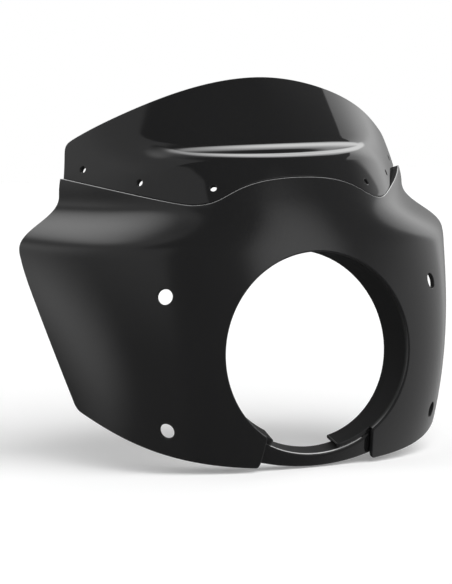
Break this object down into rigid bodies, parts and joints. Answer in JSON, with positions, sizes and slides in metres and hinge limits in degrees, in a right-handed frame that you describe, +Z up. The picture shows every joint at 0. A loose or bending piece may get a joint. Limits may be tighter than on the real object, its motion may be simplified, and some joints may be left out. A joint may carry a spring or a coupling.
{
  "type": "motorcycle fairing",
  "caption": "Gloss-black quarter fairing with a round headlight opening, a raked windshield and a strap across the notch below.",
  "frame": {"origin": "centre of the headlight opening, in the plane of its lip", "axes": "+X to the rider's left, +Y to the rear of the motorcycle along the headlight axis, +Z up"},
  "size_m": [0.5238, 0.2287, 0.418],
  "materials": {
    "shell_plastic": "gloss",
    "screen_plastic": "gloss",
    "strap_plastic": "gloss"
  },
  "bodies": {
    "root": {"fairing_shell": "shell_plastic", "windshield": "screen_plastic", "lower_strap": "strap_plastic"}
  },
  "joints": []
}
